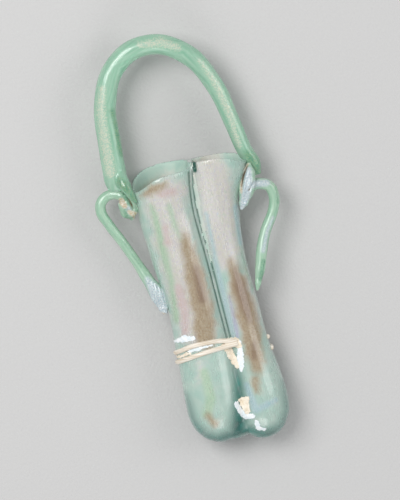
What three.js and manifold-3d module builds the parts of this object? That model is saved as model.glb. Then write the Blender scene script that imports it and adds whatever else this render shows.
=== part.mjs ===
// A double cosmetic flask of blown glass: two tubes side by side, pinched from one bubble, with a
// thread wound round them, a handle at each side and a basket handle over the two mouths.
// The flask has rounded ends to its tubes and can't stand, so it lies on its back:
// X runs across the two tubes, Y along them towards the mouths, and Z up from the surface it lies on.
// Inside this file Y is 0 at the foot of the tubes and X is 0 near the middle; the last lines move the
// origin to the surface under the middle of the outline. Millimetres.

import * as THREE from "three";
import { mergeVertices } from "three/addons/utils/BufferGeometryUtils.js";
import Module from "manifold-3d";

const wasm = await Module();
wasm.setup();

// The blown tubes

const WALL = 1.5; // the blown wall
const LIP_ROUND = 0.7; // the fire-polished edge of the mouth
const SEPTUM = 2.2; // the double wall between the tubes
const FLARE_LENGTH = 20; // how far below the mouth its slant starts
const CROWN = 0.0025; // the mouth falls away to the sides, by this times the distance squared
const SEPTUM_X = 3; // the septum's place at the mouth
const FLAT = 0.25; // the depth of the flat spots it lies on
const GAP = 0.25; // between one piece and the next
const HOLLOW_ABOVE = 8; // how far the cut for a hollow runs on past the mouth
const OUTER_SIDES = 28; // facets round a tube
const HOLLOW_SIDES = 22; // facets round its hollow
const LEVEL = 8; // the height of one band of facets
const ROUND_STEPS = 6; // bands of facets on a rounded end

// Each station is a section of the tube: its height, its centre, and half its width and depth.
const LEFT_TUBE = {
  foot: 0.8,
  footRise: 14, // the height of the rounded end
  floor: 4, // the glass under the hollow
  outer: -1, // its outer side is towards -X
  mouth: 109.5, // the height of the mouth, at the wall between the tubes
  frontSlant: 0.14, // how steeply the mouth falls towards the front
  sag: 8, // how far its outer front corner has sunk
  stations: [
    { y: 0, x: -5.6, wide: 11.4, deep: 11.0 },
    { y: 18, x: -5.6, wide: 11.7, deep: 11.4 },
    { y: 37, x: -5.8, wide: 11.4, deep: 9.8 },
    { y: 55, x: -6.3, wide: 10.9, deep: 10.2 },
    { y: 72, x: -8.0, wide: 11.3, deep: 10.4 },
    { y: 90, x: -9.4, wide: 11.8, deep: 11.0 },
    { y: 101, x: -9.2, wide: 12.0, deep: 11.8 },
    { y: 111, x: -8.7, wide: 13.6, deep: 12.8 },
  ],
};
const RIGHT_TUBE = {
  foot: -1,
  footRise: 13,
  floor: 3.4,
  outer: 1,
  mouth: 110.6,
  frontSlant: 0,
  sag: 5,
  stations: [
    { y: 0, x: 11.3, wide: 10.8, deep: 10.6 },
    { y: 18, x: 11.6, wide: 10.4, deep: 10.6 },
    { y: 37, x: 10.2, wide: 8.7, deep: 8.9 },
    { y: 55, x: 9.1, wide: 8.5, deep: 8.8 },
    { y: 72, x: 8.1, wide: 8.2, deep: 8.8 },
    { y: 90, x: 7.8, wide: 9.8, deep: 9.8 },
    { y: 101, x: 9.6, wide: 11.2, deep: 10.8 },
    { y: 111, x: 11.6, wide: 12.4, deep: 12.0 },
  ],
};
const BELLY_Y = 18; // the flask lies on its belly ...
const REST_Y = 106; // ... and on the flare of its mouths

// The wad of glass that joins the two rounded ends
const WAD = { x: -0.5, y: 5.8, wide: 9.5, high: 4.7, deep: 6.5, sides: 20, rings: 10 };

// The surface that the flask lies on, as a slab that cuts its flat spots
const GROUND = { wide: 120, y: 60, long: 240, thick: 20 };

// A value at each station, joined by a smooth curve
function along(stations, key) {
  const slope = (i) => {
    const a = stations[Math.max(i - 1, 0)];
    const b = stations[Math.min(i + 1, stations.length - 1)];
    return (b[key] - a[key]) / (b.y - a.y);
  };
  return (y) => {
    const last = stations.length - 2;
    let i = 0;
    while (i < last && y > stations[i + 1].y) i++;
    const [a, b] = [stations[i], stations[i + 1]];
    const span = b.y - a.y;
    const t = THREE.MathUtils.clamp((y - a.y) / span, 0, 1);
    const [t2, t3] = [t * t, t * t * t];
    return (
      (2 * t3 - 3 * t2 + 1) * a[key] +
      (t3 - 2 * t2 + t) * span * slope(i) +
      (3 * t2 - 2 * t3) * b[key] +
      (t3 - t2) * span * slope(i + 1)
    );
  };
}

for (const tube of [LEFT_TUBE, RIGHT_TUBE]) {
  tube.x = along(tube.stations, "x");
  tube.wide = along(tube.stations, "wide");
  tube.deep = along(tube.stations, "deep");
  const share = (y) => (y - BELLY_Y) / (REST_Y - BELLY_Y);
  tube.z = (y) =>
    THREE.MathUtils.lerp(tube.deep(BELLY_Y), tube.deep(REST_Y), share(y)) - FLAT;
}

// A mesh whose vertices are moved by a function of each one's place
function reshape(geometry, move) {
  const places = geometry.attributes.position;
  const v = new THREE.Vector3();
  for (let i = 0; i < places.count; i++) {
    v.fromBufferAttribute(places, i);
    move(v);
    places.setXYZ(i, v.x, v.y, v.z);
  }
  return geometry;
}

// One vertex for each place, in place of the seams that three.js leaves open
function weld(geometry) {
  geometry.deleteAttribute("normal");
  geometry.deleteAttribute("uv");
  return mergeVertices(geometry, 1e-4);
}

// A welded geometry as a manifold-3d solid
function solid(geometry) {
  const faces = [];
  const index = geometry.index.array;
  for (let i = 0; i < index.length; i += 3) {
    const [a, b, c] = index.subarray(i, i + 3);
    if (a !== b && b !== c && c !== a) faces.push(a, b, c);
  }
  const mesh = new wasm.Mesh({
    numProp: 3,
    vertProperties: geometry.attributes.position.array,
    triVerts: new Uint32Array(faces),
  });
  return new wasm.Manifold(mesh);
}

// One tube without its hollow, or the hollow itself: `inset` is how far it lies inside the glass
function tubeForm(tube, { inset, floor, above, round = 0, sides }) {
  const top = tube.mouth + above;
  const profile = [new THREE.Vector2(0, tube.foot + floor)];
  for (let i = 1; i <= ROUND_STEPS; i++) {
    const angle = (i / ROUND_STEPS) * (Math.PI / 2);
    const rise = (tube.footRise - floor) * (1 - Math.cos(angle));
    profile.push(new THREE.Vector2(Math.sin(angle), tube.foot + floor + rise));
  }
  const start = tube.foot + tube.footRise;
  const levels = Math.round((top - round - start) / LEVEL);
  for (let i = 1; i <= levels; i++) {
    const y = THREE.MathUtils.lerp(start, top - round, i / levels);
    profile.push(new THREE.Vector2(1, y));
  }
  if (round) profile.push(new THREE.Vector2(1 - round / tube.wide(top), top));
  profile.push(new THREE.Vector2(0, top));
  const form = weld(new THREE.LatheGeometry(profile, sides));
  return reshape(form, (v) => {
    const y = v.y;
    const flare = THREE.MathUtils.smoothstep(y, tube.mouth - FLARE_LENGTH, tube.mouth);
    const front = (1 + v.z) / 2;
    const corner = Math.max(v.x * tube.outer, 0) ** 2 * front;
    const out = v.z * (tube.deep(y) - inset);
    v.x = tube.x(y) + v.x * (tube.wide(y) - inset);
    v.z = tube.z(y) + out;
    const crown = CROWN * (v.x - SEPTUM_X) ** 2;
    v.y -= flare * (tube.frontSlant * out + crown + tube.sag * corner);
  });
}

// The outside of both tubes, pressed together, made larger by `grown`
function outside(grown = 0) {
  const wad = new THREE.SphereGeometry(1, WAD.sides, WAD.rings);
  wad.scale(WAD.wide + grown, WAD.high + grown, WAD.deep + grown);
  wad.translate(WAD.x, WAD.y, (LEFT_TUBE.z(WAD.y) + RIGHT_TUBE.z(WAD.y)) / 2);
  const round = LIP_ROUND;
  const skin = { inset: -grown, floor: -grown, above: grown, round, sides: OUTER_SIDES };
  return solid(tubeForm(LEFT_TUBE, skin))
    .add(solid(tubeForm(RIGHT_TUBE, skin)))
    .add(solid(weld(wad)));
}

// Where the outsides of the two tubes cross
function creaseX(y) {
  const [l, r] = [LEFT_TUBE, RIGHT_TUBE];
  const squares = l.wide(y) ** 2 - r.wide(y) ** 2 - l.x(y) ** 2 + r.x(y) ** 2;
  return squares / (2 * (r.x(y) - l.x(y)));
}

// The wall left standing between the two hollows
function septum() {
  const SLICES = 12;
  const DEPTH = 40; // more than the tubes' own depth
  const top = RIGHT_TUBE.mouth + HOLLOW_ABOVE;
  const heights = Array.from({ length: SLICES + 1 }, (_, i) => (i / SLICES) * top);
  const left = heights.map((y) => new THREE.Vector2(creaseX(y) - SEPTUM / 2, y));
  const right = heights.map((y) => new THREE.Vector2(creaseX(y) + SEPTUM / 2, y));
  const strip = new THREE.Shape([...right, ...left.reverse()]);
  const slab = new THREE.ExtrudeGeometry(strip, { depth: DEPTH, bevelEnabled: false });
  slab.translate(0, 0, LEFT_TUBE.z(top / 2) - DEPTH / 2);
  return solid(weld(slab));
}

function tubes() {
  const cut = { inset: WALL, above: HOLLOW_ABOVE, sides: HOLLOW_SIDES };
  const left = solid(tubeForm(LEFT_TUBE, { ...cut, floor: LEFT_TUBE.floor }));
  const right = solid(tubeForm(RIGHT_TUBE, { ...cut, floor: RIGHT_TUBE.floor }));
  const wall = septum();
  const ground = new THREE.BoxGeometry(GROUND.wide, GROUND.long, GROUND.thick);
  ground.translate(0, GROUND.y, -GROUND.thick / 2);
  return outside()
    .subtract(left.subtract(wall))
    .subtract(right.subtract(wall))
    .subtract(solid(weld(ground)));
}

// Drawn rods of glass: a straight rod with its swells and tapers, bent along a path

// Each point of a rod is [x, y, height above MIDDLE_Z, radius, flatness], where flatness is its depth
// over its width. MIDDLE_Z is the height of the tubes' middle where the side handles bend.
const HANDLES_Y = 80;
const MIDDLE_Z = (LEFT_TUBE.z(HANDLES_Y) + RIGHT_TUBE.z(HANDLES_Y)) / 2;
const PATH_SAMPLES = 200;

// The profile of a straight rod of radius 1 from 0 to 1, whose ends are round for the lengths given
function rodProfile(startCap, endCap, steps) {
  const CAP_STEPS = 3;
  const start = [];
  const end = [];
  for (let i = 0; i < CAP_STEPS; i++) {
    const angle = (i / CAP_STEPS) * (Math.PI / 2);
    start.push(new THREE.Vector2(Math.sin(angle), startCap * (1 - Math.cos(angle))));
    end.push(new THREE.Vector2(Math.sin(angle), 1 - endCap * (1 - Math.cos(angle))));
  }
  const shaft = Array.from({ length: steps + 1 }, (_, i) => {
    return new THREE.Vector2(1, THREE.MathUtils.lerp(startCap, 1 - endCap, i / steps));
  });
  return [...start, ...shaft, ...end.reverse()];
}

// A rod through the points, made larger by `grown`; its width lies at right angles to `across`
function rod(points, { steps, sides, grown = 0, across = new THREE.Vector3(0, 0, 1) }) {
  const places = points.map(([x, y, z]) => new THREE.Vector3(x, y, MIDDLE_Z + z));
  const path = new THREE.CatmullRomCurve3(places, false, "centripetal");
  const length = path.getLength();
  const lengths = path.getLengths(PATH_SAMPLES);
  // The share of the length at each point, so that radius and flatness follow the same points
  const marks = points.map((_, i) => {
    return lengths[Math.round((i / (points.length - 1)) * PATH_SAMPLES)] / length;
  });
  const table = (column) => {
    const stations = points.map((point, i) => ({ y: marks[i], value: point[column] }));
    return along(stations, "value");
  };
  const radius = table(3);
  const flat = table(4);
  const [startCap, endCap] = [0, 1].map((share) => (radius(share) + grown) / length);
  const profile = rodProfile(startCap, endCap, steps);
  const straight = weld(new THREE.LatheGeometry(profile, sides));
  return reshape(straight, (v) => {
    const share = THREE.MathUtils.clamp(v.y, 0, 1);
    const centre = path.getPointAt(share);
    const tangent = path.getTangentAt(share);
    const side = new THREE.Vector3().crossVectors(tangent, across).normalize();
    const up = new THREE.Vector3().crossVectors(side, tangent);
    const sideways = v.x * (radius(share) + grown);
    const outwards = v.z * (radius(share) * flat(share) + grown);
    v.copy(centre).addScaledVector(side, sideways).addScaledVector(up, outwards);
  });
}

const BASKET = [
  [-27.2, 104.2, -0.5, 4.0, 0.8],
  [-27.1, 109, 0, 4.6, 0.85],
  [-26.8, 122, 0.5, 4.55, 0.9],
  [-25.4, 138.5, 1, 4.35, 0.92],
  [-18.4, 152, 1.5, 4.1, 0.95],
  [-6, 157.2, 1.5, 4.0, 1],
  [7.6, 151.8, 1, 3.95, 1],
  [16.2, 139, 0.5, 3.6, 1],
  [21.2, 121, 0, 3.25, 1],
  [23.6, 110.5, 0, 3.1, 1],
  [26.1, 105.2, 0, 2.7, 1],
  [26.6, 100.2, 0.3, 2.0, 1],
];
const BASKET_TAIL = [
  [-25.2, 110.5, 1.5, 2.4, 1],
  [-24.2, 106.5, 4, 2.4, 0.9],
  [-22.6, 102.5, 5.2, 1.7, 0.8],
  [-20.9, 98.8, 5.8, 0.8, 0.8],
];
const LEFT_HANDLE = [
  [-23.2, 97.5, 1.5, 2.2, 1],
  [-25.8, 101.8, 0.8, 2.1, 1],
  [-30, 103.3, 0, 2.0, 1],
  [-34, 101.4, 0, 2.1, 1],
  [-35.1, 97.6, 0, 2.1, 1],
  [-33.2, 92.4, 0, 2.0, 1],
  [-29.3, 84.5, 0, 1.95, 1],
  [-25.6, 76.2, 0, 1.95, 1],
  [-22.4, 68.5, 0.8, 2.3, 0.95],
  [-19.7, 62, 2.2, 3.1, 0.72],
  [-18.6, 56.8, 3.0, 2.0, 0.7],
  [-18.2, 54.4, 3.2, 1.0, 0.8],
];
const LEFT_PAD = [
  [-23.6, 92.4, 1.2, 1.0, 1],
  [-24.2, 95.6, 2.0, 3.6, 0.8],
  [-24.2, 99, 2.4, 4.0, 0.75],
  [-24.6, 102.6, 2, 2.0, 0.8],
];
const RIGHT_HANDLE = [
  [21.6, 94.4, 2.4, 2.0, 1],
  [24.2, 96.6, 1.4, 2.3, 1],
  [27.4, 96.5, 0.4, 2.25, 1],
  [30.2, 95.0, 0, 2.2, 1],
  [31.4, 91.4, 0, 2.15, 1],
  [30.3, 86.2, 0, 2.1, 1],
  [25.6, 78, 0, 2.15, 1],
  [22.8, 71, 0.4, 2.2, 1],
  [20.9, 64.5, 1.2, 2.0, 0.9],
  [19.2, 59.6, 2.0, 1.3, 0.8],
  [18.2, 56.4, 2.4, 0.6, 0.9],
];
const RIGHT_PAD = [
  [24.3, 105.6, 3.2, 0.9, 1],
  [23.5, 101.6, 3.6, 2.6, 0.8],
  [21.6, 96, 4.0, 3.2, 0.75],
  [19.4, 91, 3.8, 1.9, 0.8],
  [18, 88.4, 3.6, 0.7, 1],
];

// How many facets each kind of rod has along it and round it
const CARRYING = { steps: 36, sides: 12 };
const BENT = { steps: 30, sides: 10 };
const PRESSED = { steps: 8, sides: 10 };
const WOUND = { steps: 32, sides: 6 };

function sideHandle(points, pad, grown = 0) {
  return solid(rod(points, { ...BENT, grown })).add(solid(rod(pad, { ...PRESSED, grown })));
}

function basketHandle() {
  return solid(rod(BASKET, CARRYING))
    .add(solid(rod(BASKET_TAIL, PRESSED)))
    .subtract(sideHandle(LEFT_HANDLE, LEFT_PAD, GAP))
    .subtract(sideHandle(RIGHT_HANDLE, RIGHT_PAD, GAP))
    .subtract(outside(GAP));
}

// The thread: two strands laid on the tubes, from the front valley round the left side and the back
// to the right side, where it has broken away from the front of the right tube.

const THREAD_RADIUS = 0.95;

// Each row is a tube, the angle round it from its right side over its front in degrees, and the
// heights of the upper and the lower strand there.
const THREAD = [
  [RIGHT_TUBE, 112, 39.3, 38.3],
  [LEFT_TUBE, 60, 40.8, 37.9],
  [LEFT_TUBE, 85, 41.1, 37.6],
  [LEFT_TUBE, 110, 40.9, 36.9],
  [LEFT_TUBE, 140, 39.7, 35.8],
  [LEFT_TUBE, 170, 38.7, 34.9],
  [LEFT_TUBE, 200, 38.3, 34.6],
  [LEFT_TUBE, 230, 38.1, 34.4],
  [LEFT_TUBE, 255, 37.9, 34.3],
  [LEFT_TUBE, 278, 37.8, 34.2],
  [RIGHT_TUBE, 262, 37.7, 34.1],
  [RIGHT_TUBE, 285, 37.6, 34.0],
  [RIGHT_TUBE, 310, 37.5, 33.9],
  [RIGHT_TUBE, 335, 37.5, 33.7],
  [RIGHT_TUBE, 360, 37.7, 33.5],
  [RIGHT_TUBE, 374, 37.9, 33.3],
];

function strand(heightColumn) {
  const points = THREAD.map((row) => {
    const tube = row[0];
    const angle = THREE.MathUtils.degToRad(row[1]);
    const y = row[heightColumn];
    const x = tube.x(y) + tube.wide(y) * Math.cos(angle);
    const z = tube.z(y) + tube.deep(y) * Math.sin(angle);
    return [x, y, z - MIDDLE_Z, THREAD_RADIUS, 1];
  });
  return solid(rod(points, { ...WOUND, across: new THREE.Vector3(0, 1, 0) }));
}

function thread() {
  const [upper, lower] = [strand(2), strand(3)];
  return upper.add(lower).subtract(outside(GAP));
}

// Materials

const glass = (color, roughness) => new THREE.MeshStandardMaterial({ color, roughness, metalness: 0 });
const PALE_GREEN = glass(0xa9bfae, 0.35);
const SEA_GREEN = glass(0x84b49a, 0.25);
const CREAM = glass(0xe3d9c8, 0.6);

function piece(name, made, material) {
  const { vertProperties, triVerts } = made.getMesh();
  const geometry = new THREE.BufferGeometry()
    .setAttribute("position", new THREE.BufferAttribute(vertProperties, 3))
    .setIndex(new THREE.BufferAttribute(triVerts, 1));
  geometry.computeVertexNormals();
  const mesh = new THREE.Mesh(geometry, material);
  mesh.name = name;
  return mesh;
}

const flask = new THREE.Group();
flask.add(piece("double_tube", tubes(), PALE_GREEN));
flask.add(piece("basket_handle", basketHandle(), SEA_GREEN));
flask.add(piece("left_handle", sideHandle(LEFT_HANDLE, LEFT_PAD).subtract(outside(GAP)), SEA_GREEN));
flask.add(piece("right_handle", sideHandle(RIGHT_HANDLE, RIGHT_PAD).subtract(outside(GAP)), SEA_GREEN));
flask.add(piece("thread", thread(), CREAM));

// The origin is on the surface, under the middle of the outline.
const outline = new THREE.Box3().setFromObject(flask);
const middle = outline.getCenter(new THREE.Vector3());
flask.position.set(-middle.x, -middle.y, 0);

export default flask;
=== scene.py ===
import math

import bpy
import numpy as np
from mathutils import Matrix, Vector, noise


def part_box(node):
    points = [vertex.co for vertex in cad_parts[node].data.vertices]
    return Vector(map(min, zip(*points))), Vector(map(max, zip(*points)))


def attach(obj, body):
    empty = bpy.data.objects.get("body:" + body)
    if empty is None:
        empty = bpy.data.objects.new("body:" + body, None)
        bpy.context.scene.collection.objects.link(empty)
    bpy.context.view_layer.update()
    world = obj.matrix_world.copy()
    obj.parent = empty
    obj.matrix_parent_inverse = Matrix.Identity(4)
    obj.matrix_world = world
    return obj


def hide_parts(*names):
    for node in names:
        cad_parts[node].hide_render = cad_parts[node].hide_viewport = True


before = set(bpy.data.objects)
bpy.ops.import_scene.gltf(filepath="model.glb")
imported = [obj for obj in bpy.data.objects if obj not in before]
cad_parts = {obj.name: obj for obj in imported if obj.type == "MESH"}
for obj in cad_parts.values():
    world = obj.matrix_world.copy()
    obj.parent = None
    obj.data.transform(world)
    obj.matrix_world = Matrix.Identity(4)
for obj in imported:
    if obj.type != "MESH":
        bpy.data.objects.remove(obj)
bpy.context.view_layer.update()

# ---------------------------------------------------------------------------------------------
# The camera, a copy stand's: it looks down on the flask, which lies on its back on pale paper,
# and leans a few degrees towards the mouths, so that their insides show.

MM = 0.001
FRAME_HEIGHT = 192.5 * MM
LENS_MM = 300
SENSOR_MM = 36
LEAN = math.radians(6)
ROLL = math.radians(11)
AIM = Vector((1.3, -4.3, 11.5)) * MM

distance = FRAME_HEIGHT * LENS_MM / SENSOR_MM
backward = Vector((0, math.sin(LEAN), math.cos(LEAN)))
upward = Vector((0, math.cos(LEAN), -math.sin(LEAN)))
sideways = Vector((1, 0, 0))
image_right = sideways * math.cos(ROLL) - upward * math.sin(ROLL)
image_up = sideways * math.sin(ROLL) + upward * math.cos(ROLL)

bpy.ops.object.camera_add(location=AIM + backward * distance)
camera = bpy.context.object
camera.rotation_euler = Matrix((image_right, image_up, backward)).transposed().to_euler()
camera.data.lens = LENS_MM
camera.data.sensor_width = SENSOR_MM
bpy.context.scene.camera = camera
bpy.context.scene.view_settings.view_transform = "Standard"

# ---------------------------------------------------------------------------------------------
# The paper and the light: a sheet of off-white drawing paper with a fine tooth, a big soft box
# up on the left, a weaker one on the right, and white walls all round.


def colour(hex_code):
    """An sRGB hex colour as the linear red, green, blue and alpha that Blender works in."""
    parts = [int(hex_code[i : i + 2], 16) / 255 for i in (1, 3, 5)]
    linear = [c / 12.92 if c <= 0.04045 else ((c + 0.055) / 1.055) ** 2.4 for c in parts]
    return (*linear, 1.0)


def add_node(tree, kind, settings=None, inputs=None):
    """Adds one node. An input is a plain value, or another node's output to link to it."""
    node = tree.nodes.new("ShaderNode" + kind)
    for key, value in (settings or {}).items():
        setattr(node, key, value)
    for key, value in (inputs or {}).items():
        if isinstance(value, bpy.types.NodeSocket):
            tree.links.new(value, node.inputs[key])
        else:
            node.inputs[key].default_value = value
    return node


def new_material(name):
    """A named material with only its output node, and that node."""
    material = bpy.data.materials.new(name)
    material.use_nodes = True
    material.node_tree.nodes.clear()
    output = material.node_tree.nodes.new("ShaderNodeOutputMaterial")
    return material, material.node_tree, output


PAPER = "#C4C3C2"
PAPER_TOOTH = 1.1 * MM

bpy.ops.object.select_all(action="DESELECT")
bpy.ops.mesh.primitive_grid_add(x_subdivisions=8, y_subdivisions=8, size=3)
paper = bpy.context.object
paper.name = "paper"
material, tree, output = new_material("drawing_paper")
place = add_node(tree, "TexCoord")
tooth = add_node(
    tree, "TexNoise", {"noise_dimensions": "3D"},
    {"Vector": place.outputs["Object"], "Scale": 1 / PAPER_TOOTH, "Detail": 2.0},
)
relief = add_node(
    tree, "Bump", None,
    {"Height": tooth.outputs["Fac"], "Strength": 0.6, "Distance": 0.3 * MM},
)
surface = add_node(
    tree, "BsdfPrincipled", None,
    {"Base Color": colour(PAPER), "Roughness": 0.9, "Normal": relief.outputs["Normal"]},
)
tree.links.new(surface.outputs[0], output.inputs[0])
paper.data.materials.append(material)

# Each light: where it hangs, in metres from the flask, how wide it is, and its power in watts.
SOFT_BOXES = {
    "soft_box_left": ((-0.42, 0.42, 0.9), 0.6, 7.5),
    "soft_box_right": ((0.7, 0.1, 0.6), 0.5, 1.6),
    "soft_box_foot": ((-0.1, -0.8, 0.6), 0.5, 1.6),
}
for name, (position, size, power) in SOFT_BOXES.items():
    bpy.ops.object.light_add(type="AREA", location=position)
    box_light = bpy.context.object
    box_light.name = name
    box_light.data.size = size
    box_light.data.energy = power
    box_light.rotation_euler = Vector(position).to_track_quat("Z", "Y").to_euler()

WALLS = "#F2F4F6"
WALLS_STRENGTH = 0.55
world = bpy.data.worlds.new("white_walls")
bpy.context.scene.world = world
world.use_nodes = True
world.node_tree.nodes["Background"].inputs["Color"].default_value = colour(WALLS)
world.node_tree.nodes["Background"].inputs["Strength"].default_value = WALLS_STRENGTH

# ---------------------------------------------------------------------------------------------
# The two tubes. One bubble of soda-lime glass, pinched down its middle with pincers while hot, so
# that a double wall parts it into two tubes. Blown glass has no edge left sharp: the mouths are
# fire-polished. X, Y and height are in millimetres from the foot, as on a drawing of the flask.

LEFTMOST, LOWEST = -22.03, -1.0  # the drawing's X and Y at the two tubes' left and lower edges
tube_low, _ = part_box("double_tube")
FOOT = Vector((tube_low.x - LEFTMOST * MM, tube_low.y - LOWEST * MM, 0))
WALL = 1.5  # the blown wall
SEPTUM = 2.2  # the double wall between the tubes
FLARE = 20  # how far below the mouth its slant starts
CROWN = 0.0025  # the mouth falls away to the sides, by this times the distance squared
SEPTUM_X = 3  # the double wall's place at the mouth
FLAT = 0.25  # how far the flask has settled into what it lies on
BELLY_Y, REST_Y = 18, 106  # it lies on its belly and on the flare of its mouths
HANDLES_Y = 80  # where the side handles bend
HOLLOW_ABOVE = 8  # how far the cut for a hollow runs on past the mouth
CORNER_SOFTNESS = 0.45  # of the hollow against the double wall
SPIN_STEPS, ROUND_STEPS, LEVELS = 96, 16, 48

# Each station of a tube: its height, its centre, and half its width and its depth. The slant is how
# steeply the mouth falls to the front, and the sag is how far its outer front corner has sunk.
LEFT_TUBE = dict(
    foot=0.8, rise=14, floor=4, outer=-1, mouth=109.5, slant=0.14, sag=8,
    stations=[
        (0, -5.6, 11.4, 11.0), (18, -5.6, 11.7, 11.4), (37, -5.8, 11.4, 9.8), (55, -6.3, 10.9, 10.2),
        (72, -8.0, 11.3, 10.4), (90, -9.4, 11.8, 11.0), (101, -9.2, 12.0, 11.8), (111, -8.7, 13.6, 12.8),
    ],
)
RIGHT_TUBE = dict(
    foot=-1, rise=13, floor=3.4, outer=1, mouth=110.6, slant=0, sag=5,
    stations=[
        (0, 11.3, 10.8, 10.6), (18, 11.6, 10.4, 10.6), (37, 10.2, 8.7, 8.9), (55, 9.1, 8.5, 8.8),
        (72, 8.1, 8.2, 8.8), (90, 7.8, 9.8, 9.8), (101, 9.6, 11.2, 10.8), (111, 11.6, 12.4, 12.0),
    ],
)


def along(stations, y, column):
    """The value in one column at height y, on a smooth curve through the stations."""
    last = len(stations) - 2
    i = 0
    while i < last and y > stations[i + 1][0]:
        i += 1

    def steepness(j):
        a, b = stations[max(j - 1, 0)], stations[min(j + 1, last + 1)]
        return (b[column] - a[column]) / (b[0] - a[0])

    a, b = stations[i], stations[i + 1]
    span = b[0] - a[0]
    t = min(max((y - a[0]) / span, 0), 1)
    return (
        (2 * t**3 - 3 * t**2 + 1) * a[column]
        + (t**3 - 2 * t**2 + t) * span * steepness(i)
        + (3 * t**2 - 2 * t**3) * b[column]
        + (t**3 - t**2) * span * steepness(i + 1)
    )


def section(tube, y):
    """Centre X, centre height, half width and half depth of a tube at height y."""
    x, wide, deep = (along(tube["stations"], y, column) for column in (1, 2, 3))
    depths = [along(tube["stations"], rest, 3) for rest in (BELLY_Y, REST_Y)]
    share = (y - BELLY_Y) / (REST_Y - BELLY_Y)
    return x, depths[0] + (depths[1] - depths[0]) * share - FLAT, wide, deep


def crease_x(y):
    """Where the two tubes' outsides cross."""
    xl, _, wl, _ = section(LEFT_TUBE, y)
    xr, _, wr, _ = section(RIGHT_TUBE, y)
    return (wl**2 - wr**2 - xl**2 + xr**2) / (2 * (xr - xl))


MIDDLE_Z = (section(LEFT_TUBE, HANDLES_Y)[1] + section(RIGHT_TUBE, HANDLES_Y)[1]) / 2


def at(x, y, z):
    """A place on the drawing, in millimetres, as a place in the frame, in metres."""
    return FOOT + Vector((x, y, z)) * MM


def drawn_places(piece):
    """Every vertex of a piece as X, Y and height on the drawing, one row each."""
    flat = np.empty(len(piece.data.vertices) * 3)
    piece.data.vertices.foreach_get("co", flat)
    return (flat.reshape(-1, 3) - np.array(FOOT)) / MM


def put_places(piece, places):
    """Sends every vertex of a piece to its row's place on the drawing."""
    piece.data.vertices.foreach_set("co", (places * MM + np.array(FOOT)).ravel())
    piece.data.update()


def outward(piece):
    """The way out of a piece's skin at every vertex, one row each."""
    flat = np.empty(len(piece.data.vertices) * 3)
    piece.data.vertex_normals.foreach_get("vector", flat)
    return flat.reshape(-1, 3)


def blown_bubble(name, tube, inset, floor, top):
    """One tube's outside, or its hollow: a profile of radius 1 is spun, then given its girth."""
    bpy.ops.object.select_all(action="DESELECT")
    bpy.ops.mesh.primitive_circle_add(vertices=3, radius=1)
    bubble = bpy.context.object
    bubble.name = name
    foot = tube["foot"] + floor
    rounded = tube["rise"] - floor
    profile = [(0.0, foot)]
    for i in range(1, ROUND_STEPS + 1):
        angle = i / ROUND_STEPS * math.pi / 2
        profile.append((math.sin(angle), foot + rounded * (1 - math.cos(angle))))
    start = foot + rounded
    profile += [(1.0, start + (top - start) * i / LEVELS) for i in range(1, LEVELS + 1)]
    profile.append((0.0, top))
    bubble.data.clear_geometry()
    edges = [(i, i + 1) for i in range(len(profile) - 1)]
    bubble.data.from_pydata([(r, y, 0) for r, y in profile], edges, [])
    bpy.ops.object.mode_set(mode="EDIT")
    bpy.ops.mesh.select_all(action="SELECT")
    bpy.ops.mesh.spin(steps=SPIN_STEPS, angle=math.tau, center=(0, 0, 0), axis=(0, 1, 0))
    bpy.ops.mesh.select_all(action="SELECT")
    bpy.ops.mesh.remove_doubles(threshold=1e-4)
    bpy.ops.mesh.normals_make_consistent(inside=False)
    bpy.ops.object.mode_set(mode="OBJECT")
    for vertex in bubble.data.vertices:
        ux, y, uz = vertex.co
        x, z, wide, deep = section(tube, y)
        out = uz * (deep - inset)
        corner = max(ux * tube["outer"], 0) ** 2 * (0.5 + 0.5 * uz)
        across = x + ux * (wide - inset)
        if inset:
            # The hollow stops at the double wall, with a soft corner.
            room = (across - crease_x(y)) * tube["outer"] - SEPTUM / 2
            pushed = CORNER_SOFTNESS * math.log1p(math.exp(-room / CORNER_SOFTNESS))
            across += tube["outer"] * pushed
        t = min(max((y - tube["mouth"] + FLARE) / FLARE, 0), 1)
        fall = tube["slant"] * out + CROWN * (across - SEPTUM_X) ** 2 + tube["sag"] * corner
        vertex.co = at(across, y - t * t * (3 - 2 * t) * fall, z + out)
    return bubble


def boolean(piece, other, operation):
    """Joins another solid to a piece, or cuts it away, and takes the other one away."""
    modifier = piece.modifiers.new(operation.lower(), "BOOLEAN")
    modifier.operation = operation
    modifier.object = other
    modifier.solver = "EXACT"
    bpy.context.view_layer.objects.active = piece
    bpy.ops.object.modifier_apply(modifier=modifier.name)
    bpy.data.objects.remove(other)


def melt(piece, voxel, rounds):
    """Fuses a piece's solids into one skin and softens it, as the furnace does."""
    bpy.context.view_layer.objects.active = piece
    remesh = piece.modifiers.new("fuse", "REMESH")
    remesh.mode = "VOXEL"
    remesh.voxel_size = voxel * MM
    bpy.ops.object.modifier_apply(modifier=remesh.name)
    smooth = piece.modifiers.new("soften", "SMOOTH")
    smooth.factor = 0.5
    smooth.iterations = rounds
    bpy.ops.object.modifier_apply(modifier=smooth.name)
    piece.data.shade_smooth()


# The wad that joins the two rounded ends: its centre, and half its size along each axis
WAD_CENTRE = (-0.5, 5.8, MIDDLE_Z - 0.6)
WAD_SIZE = (9.5, 4.7, 6.5)

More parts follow.
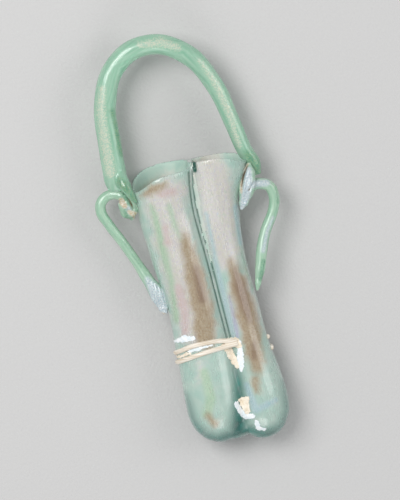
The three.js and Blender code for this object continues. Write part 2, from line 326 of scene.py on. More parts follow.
flask = blown_bubble("flask_tubes", LEFT_TUBE, 0, 0, LEFT_TUBE["mouth"])
boolean(flask, blown_bubble("right_bubble", RIGHT_TUBE, 0, 0, RIGHT_TUBE["mouth"]), "UNION")
bpy.ops.object.select_all(action="DESELECT")
bpy.ops.mesh.primitive_uv_sphere_add(segments=48, ring_count=24, radius=1)
wad = bpy.context.object
for vertex in wad.data.vertices:
    vertex.co = at(*(c + half * share for c, half, share in zip(WAD_CENTRE, WAD_SIZE, vertex.co)))
boolean(flask, wad, "UNION")
for name, tube in (("left_hollow", LEFT_TUBE), ("right_hollow", RIGHT_TUBE)):
    hollow = blown_bubble(name, tube, WALL, tube["floor"], tube["mouth"] + HOLLOW_ABOVE)
    boolean(flask, hollow, "DIFFERENCE")
melt(flask, voxel=0.6, rounds=6)

# Slow waves from the blowing and the pincers, a tenth of a millimetre high
WAVE_HEIGHT, WAVE_LENGTH = 0.12, 9
places = drawn_places(flask)
waves = np.array([noise.noise(Vector(place) / WAVE_LENGTH) for place in places])
put_places(flask, places + outward(flask) * (waves * WAVE_HEIGHT)[:, None])

LIP = 6  # the last of the tube's length, whose faces are judged from its lower end


def faces_inwards(centre, normal):
    """Whether a face of the flask lines one of the hollows."""
    x, y, _ = (centre - FOOT) / MM
    tube = LEFT_TUBE if x < SEPTUM_X else RIGHT_TUBE
    axis_y = min(max(y, tube["foot"] + tube["rise"]), tube["mouth"] - LIP)
    axis_x, axis_z, _, _ = section(tube, axis_y)
    return (centre - at(axis_x, axis_y, axis_z)).dot(normal) < 0


for polygon in flask.data.polygons:
    polygon.material_index = int(faces_inwards(polygon.center, polygon.normal))


# What has settled on the glass, and painted highlight and shade. A stroke is a run of (X, Y, half width)
# on the drawing, from above.


def covered(places, strokes, soft):
    """How far the strokes cover each place, from 0 to 1 over an edge that is `soft` wide."""
    cover = np.zeros(len(places))
    for stroke in strokes:
        ends = stroke[1:] if len(stroke) > 1 else stroke
        for (x0, y0, r0), (x1, y1, r1) in zip(stroke, ends):
            start = np.array((x0, y0))
            run = np.array((x1, y1)) - start
            length_squared = max(run @ run, 1e-9)
            share = np.clip((places[:, :2] - start) @ run / length_squared, 0, 1)
            beside = np.linalg.norm(places[:, :2] - (start + share[:, None] * run), axis=1)
            gap = beside - (r0 + (r1 - r0) * share)
            cover = np.maximum(cover, np.clip(0.5 - gap / soft, 0, 1))
    return cover


TURN = 2  # the layers fade from front to back over this much above and below the middle


def paint(piece, layer, strokes, soft, behind=0.0):
    """Paints a layer on the upper side of a piece, and on its back with strength `behind`."""
    places = drawn_places(piece)
    upper = np.clip((places[:, 2] - MIDDLE_Z + TURN) / (2 * TURN), 0, 1)
    strength = covered(places, strokes, soft) * (behind + (1 - behind) * upper)
    attribute = piece.data.attributes.new(layer, "FLOAT", "POINT")
    attribute.data.foreach_set("value", strength)


# Pearly film, which is also painted highlight at the mouths of the tubes and down the right tube,
# green, pink, blue and lavender streaks in it, light and dark soil, the teal of the thick glass with
# painted shade along the rounded lower edges and low in the crease, and the painted shade of the dark
# double line up the crease, where the wall between the tubes is seen edge-on
# Pearly film; at the mouths of both tubes and down the right tube it is also painted highlight
paint(flask, "pearl_and_highlight", [
    [(-14, 100, 3.5), (-8, 102, 5), (-3, 100, 3)],
    [(-10, 95, 8), (-9.5, 75, 7.5), (-8.5, 60, 7), (-7, 46, 7)],
    [(9, 106, 7), (9.5, 97, 7), (9, 85, 6.5), (9, 72, 5.5)],
    [(12, 60, 4.5), (12.5, 45, 4.5)],
    [(-9, 34, 1.6), (-9, 28, 1.2)],
], 6, behind=0.8)
paint(flask, "leaf", [
    [(-15.5, 97, 0.8), (-14.5, 88, 1.5), (-14.5, 80, 1.8), (-13.5, 68, 1.3), (-14.5, 52, 1.3)],
    [(-9, 96, 0.8), (-8, 88, 1.0), (-7, 82, 0.5)],
    [(-8, 30, 1.5), (-7, 20, 1.8), (-10, 14, 1.5)],
], 3, behind=0.5)
paint(flask, "rose", [
    [(-12, 88, 0.8), (-12, 82, 1.4)],
    [(-11.5, 64, 1.3), (-10.8, 55, 2.0), (-12, 46, 1.2)],
    [(-10.5, 101, 1.5), (-6, 101, 1.5)],
], 3)
paint(flask, "soil", [
    [(-5, 83, 1.5), (-4.6, 74, 3.3), (-4.2, 62, 4.2), (-4.2, 50, 4.6), (-5, 43, 4.2)],
    [(10.5, 70, 1.5), (11.5, 62, 3.2), (12, 52, 3.8), (12.8, 40, 4.0), (12, 28, 3.0)],
    [(-19, 101.5, 0.8), (-14, 103.5, 1.6), (-9, 104.5, 0.8)],
    [(-9.5, 13, 1.0), (-7.5, 9.5, 0.8)],
    [(11, 24, 1.4), (10.5, 19, 0.8)],
], 4.5, behind=0.7)
paint(flask, "umber", [
    [(11.3, 67, 0.6), (11.8, 60, 2.2), (12.6, 51, 1.8), (13, 46, 1.0)],
    [(-3.5, 70, 1.2), (-3.2, 58, 1.6)],
    [(13, 37, 0.8), (12, 32, 1.0)],
], 3.5)
paint(flask, "sky", [
    [(4.6, 90, 0.4), (4.8, 72, 0.8), (5.0, 62, 1.0), (5.6, 41, 0.9)],
    [(16, 90, 1.2), (15.5, 76, 1.2)],
    [(7, 22, 1.2), (9, 12, 1.5), (17, 14, 1.0)],
], 2.2)
paint(flask, "lilac", [[(7.2, 57, 0.5), (7.4, 48, 0.9), (7.3, 41, 0.7)]], 1.6)
# The teal of the thick glass in the base, and painted shade along the rounded lower edges and low in the
# crease between the tubes
paint(flask, "deep", [
    [(-16.3, 22, 0.4), (-15.6, 12, 1.0), (-13, 5, 2.0), (-8, 2.4, 2.2), (-2, 3.2, 2.5)],
    [(-2, 3.2, 2.5), (4, 4.0, 2.4), (12, 0.8, 1.6), (18, 3, 1.6), (21, 9, 0.9), (21.6, 20, 0.4)],
    [(4.2, 33, 0.8), (4.3, 22, 1.8), (2.5, 12, 2.8), (1, 5, 3.4)],
    [(-12, 2, 3.0), (-4, 1, 3.0), (6, 0, 3.0), (14, 1, 2.5)],
], 7, behind=1)
# Painted shade: a dark double line up the crease between the tubes, where the wall between them is seen
# edge-on, and a dark spot where that wall meets the mouths
CREASE_LEVELS = range(107, 40, -6)
CREASE_SIDES = (-0.6, 0.8)
crease_lines = [
    [(crease_x(y) + side, y, 0.3) for y in CREASE_LEVELS] for side in CREASE_SIDES
]
paint(flask, "crease_shade", crease_lines + [[(3.5, 111, 0.9), (3.4, 107, 0.8)]], 0.9)


def grain(tree, place, size, detail=2.0, distortion=0.0):
    """A noise whose grains are about `size` millimetres, one number or one for each axis."""
    sizes = size if isinstance(size, tuple) else (size,) * 3
    stretched = add_node(
        tree, "Mapping", None,
        {"Vector": place, "Scale": tuple(1 / (s * MM) for s in sizes)},
    )
    made = add_node(
        tree, "TexNoise", None,
        {"Vector": stretched.outputs[0], "Scale": 1.0, "Detail": detail, "Distortion": distortion},
    )
    return made.outputs["Fac"]


def mottle(tree, factor, low, high, spread=0.2):
    """Two colours mixed by a noise."""
    steeper = add_node(
        tree, "MapRange", None,
        {"Value": factor, "From Min": 0.5 - spread, "From Max": 0.5 + spread},
    )
    mixed = add_node(
        tree, "Mix", {"data_type": "RGBA"},
        {0: steeper.outputs[0], 6: colour(low), 7: colour(high)},
    )
    return mixed.outputs[2]


def lay_over(tree, under, layer, over, texture, ragged):
    """Lays a colour over the one below where its layer is painted, with a ragged edge."""
    painted = add_node(tree, "Attribute", {"attribute_name": layer})
    broken = add_node(
        tree, "Math", {"operation": "MULTIPLY_ADD"},
        {0: texture, 1: ragged, 2: painted.outputs["Fac"]},
    )
    mask = add_node(
        tree, "MapRange", {"interpolation_type": "SMOOTHSTEP"},
        {"Value": broken.outputs[0], "From Min": 0.1 + ragged / 2, "From Max": 0.95 + ragged / 2},
    )
    mixed = add_node(
        tree, "Mix", {"data_type": "RGBA"}, {0: mask.outputs[0], 6: under, 7: over}
    )
    return mixed.outputs[2]


IRON_TINT = (0.0, 0.80, 0.72, 1)  # the share of light that the iron in the glass lets through
IRON_DENSITY = 45.0  # how much of it there is, for each metre


def finish_glass(tree, output, inputs, density):
    """Soda-lime glass: its surface, and the teal that a thick piece of it takes on inside."""
    surface = add_node(tree, "BsdfPrincipled", None, {"IOR": 1.5, **inputs})
    depth = add_node(tree, "VolumeAbsorption", None, {"Color": IRON_TINT, "Density": density})
    tree.links.new(surface.outputs[0], output.inputs["Surface"])
    tree.links.new(depth.outputs[0], output.inputs["Volume"])


# The outside: clear green glass under a pearly film that flakes, so it is half dull, half glossy.
# The film splits light as a pearl does, into spots of pale green, cream, pink and blue.
PEARL_SPOTS = (
    (0.3, "#CFE6DA"), (0.42, "#F4EBD9"), (0.5, "#FAF8F5"), (0.58, "#EBDCE6"), (0.7, "#D3E4F0"),
)
outer_glass, tree, output = new_material("weathered_soda_lime_glass")
place = add_node(tree, "TexCoord").outputs["Object"]
streaks = grain(tree, place, (2.5, 24, 4), 4, 0.4)
patches = grain(tree, place, 5, 4, 0.6)
specks = grain(tree, place, 0.7, 2)
base = mottle(tree, patches, "#C4E4D8", "#E0F1E6")
pearl_and_highlight_colour = mottle(tree, streaks, "#EAE4D8", "#FCF9F5")
sheen = add_node(tree, "ValToRGB", None, {"Fac": grain(tree, place, 1.1, 2, 1.0)})
for stop, hex_code in PEARL_SPOTS:
    sheen.color_ramp.elements.new(stop).color = colour(hex_code)
pearl_and_highlight_colour = add_node(
    tree, "Mix", {"data_type": "RGBA"}, {0: 0.5, 6: pearl_and_highlight_colour, 7: sheen.outputs[0]}
).outputs[2]
# The pearly film, with its painted highlight at the mouths and down the right tube
base = lay_over(tree, base, "pearl_and_highlight", pearl_and_highlight_colour, patches, 0.8)
base = lay_over(tree, base, "leaf", mottle(tree, specks, "#BCDCBE", "#D8ECD2"), streaks, 0.9)
base = lay_over(tree, base, "rose", mottle(tree, specks, "#EBD3CA", "#F0E0E4"), patches, 0.9)
base = lay_over(tree, base, "sky", mottle(tree, specks, "#BFE1E5", "#DDEEF3"), streaks, 0.7)
base = lay_over(tree, base, "lilac", mottle(tree, specks, "#C6C9E2", "#DADDEC"), streaks, 0.5)
base = lay_over(tree, base, "soil", mottle(tree, specks, "#B9A080", "#DACBB0"), patches, 1.1)
base = lay_over(tree, base, "umber", mottle(tree, specks, "#98795F", "#B99F86"), specks, 0.9)
# Dark teal: the thick glass of the base, and painted shade along the lower edges and low in the crease
base = lay_over(tree, base, "deep", mottle(tree, patches, "#0C5F58", "#3F9F92"), patches, 0.5)
# Painted shade: the dark double line up the crease between the tubes
base = lay_over(tree, base, "crease_shade", mottle(tree, streaks, "#0F4F42", "#226E5C"), specks, 0.1)
relief = add_node(
    tree, "Bump", None, {"Height": specks, "Strength": 0.25, "Distance": 0.15 * MM}
)
dull = add_node(
    tree, "MapRange", None,
    {"Value": streaks, "From Min": 0.35, "From Max": 0.65, "To Min": 0.16, "To Max": 0.38},
)
finish_glass(
    tree, output,
    {
        "Base Color": base, "Roughness": dull.outputs[0], "Transmission Weight": 0.45,
        "Normal": relief.outputs[0], "Coat Weight": 0.9, "Coat Roughness": 0.1,
    },
    IRON_DENSITY,
)
flask.data.materials.append(outer_glass)

# The inside: the same glass under dried soil and film that nobody could reach to clean.
inner_glass, tree, output = new_material("soiled_inner_glass")
place = add_node(tree, "TexCoord").outputs["Object"]
streaks = grain(tree, place, (2, 26, 4), 4, 0.3)
patches = grain(tree, place, 4, 4, 0.6)
specks = grain(tree, place, 0.6, 2)
base = mottle(tree, patches, "#C0E0D4", "#D8EDE0")
# The pearly film inside too, with the painted highlight of the outside
base = lay_over(tree, base, "pearl_and_highlight", mottle(tree, streaks, "#E6E0D4", "#F7F4F0"), patches, 0.7)
base = lay_over(tree, base, "soil", mottle(tree, specks, "#B0936B", "#CFBA94"), streaks, 0.6)
base = lay_over(tree, base, "umber", mottle(tree, specks, "#8B6D50", "#A88968"), specks, 0.6)
finish_glass(
    tree, output, {"Base Color": base, "Roughness": 0.5, "Transmission Weight": 0.3}, IRON_DENSITY
)
flask.data.materials.append(inner_glass)

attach(flask, "root")
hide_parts("double_tube")

# ---------------------------------------------------------------------------------------------
# The basket handle. A thick trail of the same glass, dropped on the left rim, pulled up over the
# mouths and pressed down on the right rim. Its tail was drawn out thin on the left tube.


def drawn_rod(name, points):
    """A rod bent through points of (X, Y, height over the middle, radius, depth over width)."""
    bpy.ops.object.select_all(action="DESELECT")
    bpy.ops.curve.primitive_bezier_curve_add()
    rod = bpy.context.object
    rod.name = name
    bend = rod.data
    bend.dimensions = "3D"
    bend.bevel_depth = 1.0
    bend.bevel_resolution = 10
    bend.resolution_u = 16
    bend.use_fill_caps = True
    spline = bend.splines[0]
    spline.bezier_points.add(len(points) - 2)
    for knot, (x, y, z, radius, _) in zip(spline.bezier_points, points):
        knot.co = at(x, y, MIDDLE_Z + z)
        knot.radius = radius * MM
        knot.handle_left_type = knot.handle_right_type = "AUTO"
    spline.radius_interpolation = "EASE"
    bpy.ops.object.convert(target="MESH")
    places = drawn_places(rod)
    _, _, line = run_along(points, places)
    places[:, 2] = line[:, 2] + (places[:, 2] - line[:, 2]) * line[:, 4]
    put_places(rod, places)
    bpy.ops.object.mode_set(mode="EDIT")
    bpy.ops.mesh.select_all(action="SELECT")
    bpy.ops.mesh.normals_make_consistent(inside=False)
    bpy.ops.object.mode_set(mode="OBJECT")
    return rod


SAMPLES = 12  # between one point of a rod and the next


def run_along(points, places):
    """How far along a rod each place is, how far beside its middle, and the rod's values there."""
    knots = np.array(points, float)
    knots[:, 2] += MIDDLE_Z
    between = np.linspace(0, 1, SAMPLES, endpoint=False)[:, None]
    line = np.vstack([a + (b - a) * between for a, b in zip(knots, knots[1:])] + [knots[-1:]])
    steps = np.linalg.norm(np.diff(line[:, :2], axis=0), axis=1)
    lengths = np.concatenate([[0], np.cumsum(steps)])
    far = places[:, None, :2] - line[None, :, :2]
    nearest = (far**2).sum(2).argmin(1)
    tangents = np.gradient(line[:, :2], axis=0)
    tangents /= np.linalg.norm(tangents, axis=1)[:, None]
    offset = places[:, :2] - line[nearest, :2]
    ahead = (offset * tangents[nearest]).sum(1)
    beside = offset[:, 0] * tangents[nearest, 1] - offset[:, 1] * tangents[nearest, 0]
    return lengths[nearest] + ahead, beside, line[nearest]


def write_run(piece, points):
    """Keeps on each vertex how far along and beside the rod it is, for streaks that follow it."""
    far, beside, _ = run_along(points, drawn_places(piece))
    for name, values in (("far", far), ("beside", beside)):
        attribute = piece.data.attributes.new(name, "FLOAT", "POINT")
        attribute.data.foreach_set("value", values)


def fuse(name, rods, voxel, rounds):
    """Rods joined and melted into one piece."""
    bpy.ops.object.select_all(action="DESELECT")
    for rod in rods:
        rod.select_set(True)
    bpy.context.view_layer.objects.active = rods[0]
    bpy.ops.object.join()
    rods[0].name = name
    melt(rods[0], voxel, rounds)
    return rods[0]


BASKET = [
    (-27.2, 104.2, -0.5, 3.6, 0.8), (-27.1, 109, 0, 4.6, 0.85), (-26.8, 122, 0.5, 4.55, 0.9),
    (-25.4, 138.5, 1, 4.35, 0.92), (-18.4, 152, 1.5, 4.1, 0.95), (-6, 157.2, 1.5, 4.0, 1),
    (7.6, 151.8, 1, 3.95, 1), (16.2, 139, 0.5, 3.6, 1), (21.2, 121, 0, 3.25, 1),
    (23.6, 110.5, 0, 3.1, 1), (26.1, 105.2, 0, 2.7, 1), (26.6, 100.2, 0.3, 1.8, 1),
]
BASKET_TAIL = [
    (-25.2, 110.5, 1.5, 2.4, 1), (-24.2, 106.5, 4, 2.4, 0.9), (-22.6, 102.5, 5.2, 1.7, 0.8),
    (-20.9, 98.8, 5.8, 0.8, 0.8),
]
basket = fuse(
    "basket_handle_drawn",
    [drawn_rod("basket", BASKET), drawn_rod("basket_tail", BASKET_TAIL)],
    voxel=0.4, rounds=4,
)
write_run(basket, BASKET)
# Speckled pearly film and painted highlight along the crest of the handle, the darker green of its
# pressed ends, and painted shade down the right side of its left leg
paint(basket, "glint", [
    [(-28.5, 112, 1.8), (-28.3, 125, 1.8), (-27.6, 136, 1.5), (-25.5, 144, 1.2)],
    [(-8, 158, 1.0), (0, 157.5, 1.6), (6, 154, 1.2)],
    [(13, 148, 0.5), (17.5, 138, 1.1), (20.5, 126, 1.2), (22, 113, 0.9)],
], 2.5)
paint(basket, "dark_green_and_shade", [
    [(24.5, 109, 1.5), (27, 105, 1.6), (27, 101, 1.2)],
    [(-25.5, 108, 1.6), (-23.5, 104.5, 1.6), (-21, 99.5, 1.0)],
    [(-23.4, 135, 0.8), (-23, 118, 0.8)],
], 3, behind=1)


THREAD_WIDTH, THREAD_LENGTH = 1.1, 14  # of the threads of colour in a drawn rod


def drawn_glass(name, low, high, layers, see_through):
    """Glass that was drawn into a rod: its colour and bubbles run in threads along the rod."""
    material, tree, output = new_material(name)
    place = add_node(tree, "TexCoord").outputs["Object"]
    far = add_node(tree, "Attribute", {"attribute_name": "far"})
    beside = add_node(tree, "Attribute", {"attribute_name": "beside"})
    run = add_node(
        tree, "CombineXYZ", None,
        {0: beside.outputs["Fac"], 1: far.outputs["Fac"]},
    )
    stretched = add_node(
        tree, "Mapping", None,
        {"Vector": run.outputs[0], "Scale": (1 / THREAD_WIDTH, 1 / THREAD_LENGTH, 1)},
    )
    threads = add_node(
        tree, "TexNoise", None,
        {"Vector": stretched.outputs[0], "Scale": 1.0, "Detail": 3.0, "Distortion": 0.3},
    ).outputs["Fac"]
    textures = {
        "threads": threads,
        "patches": grain(tree, place, 3.5, 3, 0.5),
        "specks": grain(tree, place, 0.55, 2),
    }
    base = mottle(tree, threads, low, high)
    for layer, dark, light, texture, ragged in layers:
        over = mottle(tree, textures["specks"], dark, light, 0.12)
        base = lay_over(tree, base, layer, over, textures[texture], ragged)
    ridges = add_node(
        tree, "Bump", None, {"Height": threads, "Strength": 0.4, "Distance": 0.3 * MM}
    )
    pits = add_node(
        tree, "Bump", None,
        {
            "Height": textures["specks"], "Strength": 0.2, "Distance": 0.1 * MM,
            "Normal": ridges.outputs[0],
        },
    )
    finish_glass(
        tree, output,
        {
            "Base Color": base, "Roughness": 0.2, "Transmission Weight": see_through,
            "Normal": pits.outputs[0], "Coat Weight": 0.5, "Coat Roughness": 0.15,
        },
        IRON_DENSITY / 2,
    )
    return material


# Sea-green glass, a little milky with bubbles, half hidden by the speckled film, with painted
# highlight along its crest and painted shade down the right side of its left leg
basket.data.materials.append(drawn_glass(
    "drawn_sea_green_glass", "#9DD0B4", "#C2E4CC",
    [
        # Darker green at the pressed ends, and painted shade down the left leg's right side
        ("dark_green_and_shade", "#6FAE90", "#A0C298", "patches", 0.6),
        # Speckled film, and painted highlight along the crest
        ("glint", "#C6E2D0", "#F3F0DA", "specks", 0.9),
    ],
    0.45,
))
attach(basket, "root")
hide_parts("basket_handle")

# ---------------------------------------------------------------------------------------------
# The left side handle. A blob pressed on under the rim and folded over, drawn out in a rod to the
# left, bent down and pressed back on the tube with a ribbed tool, which left four grooves.


GROOVE_SOFT = 0.9  # how wide a groove's rounded edge is
RIBS = 4  # grooves that the ribbed tool left


def groove(piece, runs, depth):
    """Presses lines into the upper side of a piece."""
    places = drawn_places(piece)
    upper = np.clip((places[:, 2] - MIDDLE_Z + 1) / 2, 0, 1)
    pressed = covered(places, runs, GROOVE_SOFT) * upper
    places[:, 2] -= pressed * depth
    put_places(piece, places)


LEFT_HANDLE = [
    (-23.2, 97.5, 1.5, 2.2, 1), (-25.8, 101.8, 0.8, 2.1, 1), (-30, 103.3, 0, 2.0, 1),
    (-34, 101.4, 0, 2.1, 1), (-35.1, 97.6, 0, 2.1, 1), (-33.2, 92.4, 0, 2.0, 1),
    (-29.3, 84.5, 0, 1.95, 1), (-25.6, 76.2, 0, 1.95, 1), (-22.4, 68.5, 0.8, 2.3, 0.95),
    (-19.7, 62, 2.2, 3.1, 0.72), (-18.6, 56.8, 3.0, 2.0, 0.7), (-18.2, 54.4, 3.2, 1.0, 0.8),
]
LEFT_PAD = [
    (-23.6, 92.4, 1.2, 1.0, 1), (-24.2, 95.6, 2.0, 3.6, 0.8), (-24.2, 99, 2.4, 4.0, 0.75),
    (-24.6, 102.6, 2, 2.0, 0.8),
]
left_handle = fuse(
    "left_handle_drawn",
    [drawn_rod("left_rod", LEFT_HANDLE), drawn_rod("left_pad", LEFT_PAD)],
    voxel=0.3, rounds=3,
)
groove(left_handle, [
    [(-21.8 + 1.25 * i, 67.5 - i, 0.15), (-20.7 + 1.1 * i, 57 + 0.3 * i, 0.25)]
    for i in range(RIBS)
], 0.7)
groove(left_handle, [[(-23.7, 101.5, 0.3), (-23.0, 98.5, 0.5), (-22.7, 96.5, 0.2)]], 1.2)
groove(left_handle, [[(-26.6, 101, 0.2), (-25.0, 97, 0.3), (-23.6, 93, 0.2)]], 0.6)
write_run(left_handle, LEFT_HANDLE)
# Silvery scale on the pressed end, cream crust and a slit with soil on the blob, darker green folds,
# and painted shade down the rod's right side
paint(left_handle, "silver", [
    [(-22.5, 69, 1.0), (-20, 62, 3.2), (-18.6, 55, 2)],
    [(-24.5, 97.5, 0.9), (-23.9, 95.5, 0.8)],
], 2)
paint(left_handle, "crust", [
    [(-26.5, 100.5, 1.2), (-25.6, 98.4, 1.0)],
    [(-24.4, 96.0, 0.7), (-22.2, 94.0, 1.4), (-22.4, 91.5, 0.8)],
    [(-19.6, 54.5, 0.8), (-18, 53.8, 0.6)],
], 1.0)
paint(left_handle, "slit", [[(-23.7, 101.5, 0.1), (-23.0, 98.5, 0.35), (-22.7, 96.8, 0.1)]], 0.6)
paint(left_handle, "dark_green_and_shade", [
    [(-24.5, 104, 1.2), (-26, 91.8, 0.8)],
    [(-28, 84, 0.3), (-24, 74, 0.3)],
], 1.5)
SIDE_LAYERS = [
    # Darker green glass, and painted shade down the rods
    ("dark_green_and_shade", "#79AE94", "#A0C8A8", "patches", 0.6),
    ("silver", "#C6D8E2", "#EEF3F5", "threads", 0.6),
    ("crust", "#E6CDA8", "#F6EDDF", "patches", 0.6),
    ("slit", "#5E4020", "#7D5A31", "specks", 0.2),
]
# The milkier glass of both side handles, under scale, crust, soil, darker green and painted shade
left_handle.data.materials.append(
    drawn_glass("drawn_milky_green_glass", "#A6D2B6", "#CBE6CE", SIDE_LAYERS, 0.4)
)
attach(left_handle, "root")
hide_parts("left_handle")

# ---------------------------------------------------------------------------------------------
# The right side handle. Its blob ran down the tube in a long leaf before it was folded and drawn
# out, so a slit with soil in it is left between the leaf and the tube.

RIGHT_HANDLE = [
    (21.6, 94.4, 2.4, 2.0, 1), (24.2, 96.6, 1.4, 2.3, 1), (27.4, 96.5, 0.4, 2.25, 1),
    (30.2, 95.0, 0, 2.2, 1), (31.4, 91.4, 0, 2.15, 1), (30.3, 86.2, 0, 2.1, 1),
    (25.6, 78, 0, 2.15, 1), (22.8, 71, 0.4, 2.2, 1), (20.9, 64.5, 1.2, 2.0, 0.9),
    (19.2, 59.6, 2.0, 1.3, 0.8), (18.2, 56.4, 2.4, 0.6, 0.9),
]
RIGHT_PAD = [
    (24.3, 105.6, 3.2, 0.9, 1), (23.5, 101.6, 3.6, 2.6, 0.8), (21.6, 96, 4.0, 3.2, 0.75),
    (19.4, 91, 3.8, 1.9, 0.8), (18, 88.4, 3.6, 0.7, 1),
]
right_handle = fuse(
    "right_handle_drawn",
    [drawn_rod("right_rod", RIGHT_HANDLE), drawn_rod("right_pad", RIGHT_PAD)],
    voxel=0.3, rounds=3,
)
groove(right_handle, [[(23.6, 104.8, 0.2), (21.2, 101, 0.5), (19.6, 96.5, 0.25)]], 1.3)
groove(right_handle, [
    [(25.2, 98.4, 0.2), (22.2, 95.2, 0.4)],
    [(22.8, 100, 0.2), (19.5, 91, 0.2)],
], 0.7)
write_run(right_handle, RIGHT_HANDLE)
paint(right_handle, "silver", [
    [(23.5, 103, 1.2), (22, 97, 2.2), (19.5, 91, 1.4), (18, 88.5, 0.8)],
    [(24.5, 97, 1.5), (29.5, 96.5, 1.3)],
    [(29.5, 83, 0.6), (26.2, 78, 0.7), (23.2, 71, 0.8)],
], 1.6)
paint(right_handle, "crust", [
    [(24.0, 105.2, 0.3), (21.0, 102.8, 0.5), (20.0, 99, 0.5), (19.2, 95, 0.4)],
    [(24.6, 93.9, 0.3), (28.4, 93.6, 0.4)],
], 0.9)
paint(right_handle, "slit", [
    [(23.4, 104.4, 0.15), (21.3, 101.2, 0.4), (19.8, 97.2, 0.15)],
    [(22.8, 96.0, 0.1), (22.3, 95.4, 0.25)],
], 0.6)
# Darker green near the pressed lower end, and painted shade down the outer edge of the bend
paint(right_handle, "dark_green_and_shade", [
    [(22.6, 67, 0.9), (20.2, 60.5, 0.8)],
    [(32.5, 94, 0.3), (32.3, 88, 0.3)],
], 1.2)
right_handle.data.materials.append(left_handle.data.materials[0])
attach(right_handle, "root")
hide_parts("right_handle")

# ---------------------------------------------------------------------------------------------
# The thread. Two turns of a thin glass thread, wound round both tubes. It has weathered to an
# opaque cream, and it has broken away from the front of the right tube.

THREAD_RADIUS = 0.95

# Each row is a tube, the angle round it from its right side over its front in degrees, and the
# heights of the upper and the lower turn there.
THREAD = [
    (RIGHT_TUBE, 112, 39.3, 38.3), (LEFT_TUBE, 60, 40.8, 37.9), (LEFT_TUBE, 85, 41.1, 37.6),
    (LEFT_TUBE, 110, 40.9, 36.9), (LEFT_TUBE, 140, 39.7, 35.8), (LEFT_TUBE, 170, 38.7, 34.9),
    (LEFT_TUBE, 200, 38.3, 34.6), (LEFT_TUBE, 230, 38.1, 34.4), (LEFT_TUBE, 255, 37.9, 34.3),
    (LEFT_TUBE, 278, 37.8, 34.2), (RIGHT_TUBE, 262, 37.7, 34.1), (RIGHT_TUBE, 285, 37.6, 34.0),
    (RIGHT_TUBE, 310, 37.5, 33.9), (RIGHT_TUBE, 335, 37.5, 33.7), (RIGHT_TUBE, 360, 37.7, 33.5),
    (RIGHT_TUBE, 374, 37.9, 33.3),
]


def turn(name, column):
    """One turn of the thread, laid on the tubes' skin."""
    points = []
    for row in THREAD:
        y = row[column]
        x, z, wide, deep = section(row[0], y)
        angle = math.radians(row[1])
        height = z + deep * math.sin(angle) - MIDDLE_Z
        points.append((x + wide * math.cos(angle), y, height, THREAD_RADIUS, 1))
    return drawn_rod(name, points)


thread = fuse(
    "wound_thread", [turn("upper_turn", 2), turn("lower_turn", 3)], voxel=0.25, rounds=2
)
# Glass rotted right through to a dull cream, with the fine ridges of its drawing still in it
chalk, tree, output = new_material("weathered_thread_glass")
place = add_node(tree, "TexCoord").outputs["Object"]
fibres = grain(tree, place, (6, 0.35, 6), 3)
base = mottle(tree, fibres, "#CFBDA3", "#F8F2E8")
relief = add_node(tree, "Bump", None, {"Height": fibres, "Strength": 0.7, "Distance": 0.3 * MM})
surface = add_node(
    tree, "BsdfPrincipled", None,
    {"Base Color": base, "Roughness": 0.55, "Normal": relief.outputs[0]},
)
tree.links.new(surface.outputs[0], output.inputs["Surface"])
thread.data.materials.append(chalk)
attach(thread, "root")
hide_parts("thread")

# ---------------------------------------------------------------------------------------------
# The crust. Where glass has rotted to white flakes, and soil has set in the hollows between the
# tubes and round the thread. It lies on the glass a few tenths of a millimetre thick.


HALVINGS = 2  # of the faces of the skin, so that a crust's edge can be ragged
NEAR = 3  # how far round the strokes the skin is kept while it is halved
EDGE = 0.38  # how much of its full cover a crust has at its edge
BED = 0.05  # how far it stands off the glass at its thinnest
SHELL = 0.3


def keep_near(piece, keep):
    """Deletes the faces that line the hollows, and those with a corner that isn't kept."""
    piece.data.vertices.foreach_set("select", np.zeros(len(keep), bool))
    for polygon in piece.data.polygons:
        outside = polygon.material_index == 0
        polygon.select = not (outside and all(keep[v] for v in polygon.vertices))
    bpy.ops.object.mode_set(mode="EDIT")
    bpy.ops.mesh.select_mode(type="FACE")
    bpy.ops.mesh.delete(type="FACE")
    bpy.ops.object.mode_set(mode="OBJECT")


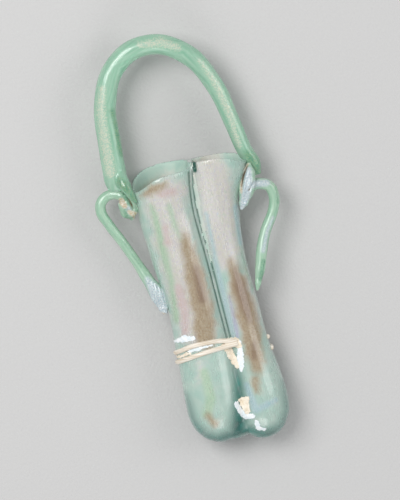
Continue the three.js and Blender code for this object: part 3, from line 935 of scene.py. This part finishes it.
def crust(name, strokes, thickness, low, high):
    """A crust on the flask's upper side: its skin copied there, cut ragged, and raised."""
    bpy.ops.object.select_all(action="DESELECT")
    flask.select_set(True)
    bpy.context.view_layer.objects.active = flask
    bpy.ops.object.duplicate()
    layer = bpy.context.object
    layer.name = name
    layer.data.materials.clear()
    for _ in range(HALVINGS):
        places = drawn_places(layer)
        keep_near(layer, (covered(places, strokes, NEAR) > 0) & (places[:, 2] > MIDDLE_Z))
        bpy.ops.object.mode_set(mode="EDIT")
        bpy.ops.mesh.select_all(action="SELECT")
        bpy.ops.mesh.subdivide(number_cuts=1)
        bpy.ops.object.mode_set(mode="OBJECT")
    places = drawn_places(layer)
    ragged = np.array([
        noise.noise(Vector(place) / 1.3) * 0.5 + noise.noise(Vector(place) / 0.5) * 0.3
        for place in places
    ])
    near = covered(places, strokes, NEAR) > 0
    cover = covered(places, strokes, 1.6) + ragged * near * 0.55
    keep_near(layer, (cover > EDGE) & (places[:, 2] > MIDDLE_Z))
    places = drawn_places(layer)
    rise = np.clip(covered(places, strokes, 2.2), 0, 1)
    lumps = np.array([0.7 + 0.5 * noise.noise(Vector(place) / 0.9) for place in places])
    put_places(layer, places + outward(layer) * (BED + rise * thickness * lumps)[:, None])
    solidify = layer.modifiers.new("body", "SOLIDIFY")
    solidify.thickness = SHELL * MM
    solidify.offset = -1
    bpy.ops.object.modifier_apply(modifier=solidify.name)
    layer.data.shade_smooth()
    material, tree, output = new_material(name + "_crust")
    place = add_node(tree, "TexCoord").outputs["Object"]
    patches = grain(tree, place, 1.6, 4, 0.5)
    specks = grain(tree, place, 0.4, 2)
    relief = add_node(tree, "Bump", None, {"Height": specks, "Strength": 0.5, "Distance": 0.2 * MM})
    base = mottle(tree, patches, low, high)
    surface = add_node(
        tree, "BsdfPrincipled", None,
        {"Base Color": base, "Roughness": 0.85, "Normal": relief.outputs[0]},
    )
    tree.links.new(surface.outputs[0], output.inputs["Surface"])
    layer.data.materials.append(material)
    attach(layer, "root")


# Dried soil between the tubes and round the thread, matt and crumbly, a cream earth
crust("cream_soil", [
    [(3.0, 39.6, 1.0), (6.0, 39.2, 1.6), (7.2, 37.5, 1.0)],
    [(1.4, 38.6, 0.8), (3.2, 36.0, 1.4), (4.2, 32, 1.2), (5.0, 29.5, 0.8)],
    [(4.0, 16.4, 0.9), (6.6, 16.8, 0.8)],
    [(5.0, 14.8, 1.7), (5.6, 12.0, 1.0)],
    [(-16.5, 37.0, 0.4), (-12, 38.2, 0.5)],
], 0.5, "#E2D3BB", "#F6EEE0")
# Flakes of rotted glass, matt white
crust("white_flakes", [
    [(-16.5, 43.2, 0.4), (-13, 44, 1.2), (-9.5, 43.9, 0.8)],
    [(-12, 38.9, 0.5), (-7, 39.6, 0.5), (-3, 39.8, 0.2)],
    [(7.6, 39.0, 0.6), (7.2, 35, 1.0), (6.6, 31, 1.3), (6.2, 28, 0.5)],
    [(2.0, 15.6, 0.8), (2.8, 12.4, 0.9), (4.4, 10.0, 1.1), (7.2, 9.6, 0.8)],
    [(8.2, 7.0, 0.8), (8.6, 4.6, 0.9), (10.6, 3.6, 0.5)],
], 0.25, "#D8E4E8", "#F8F8F8")
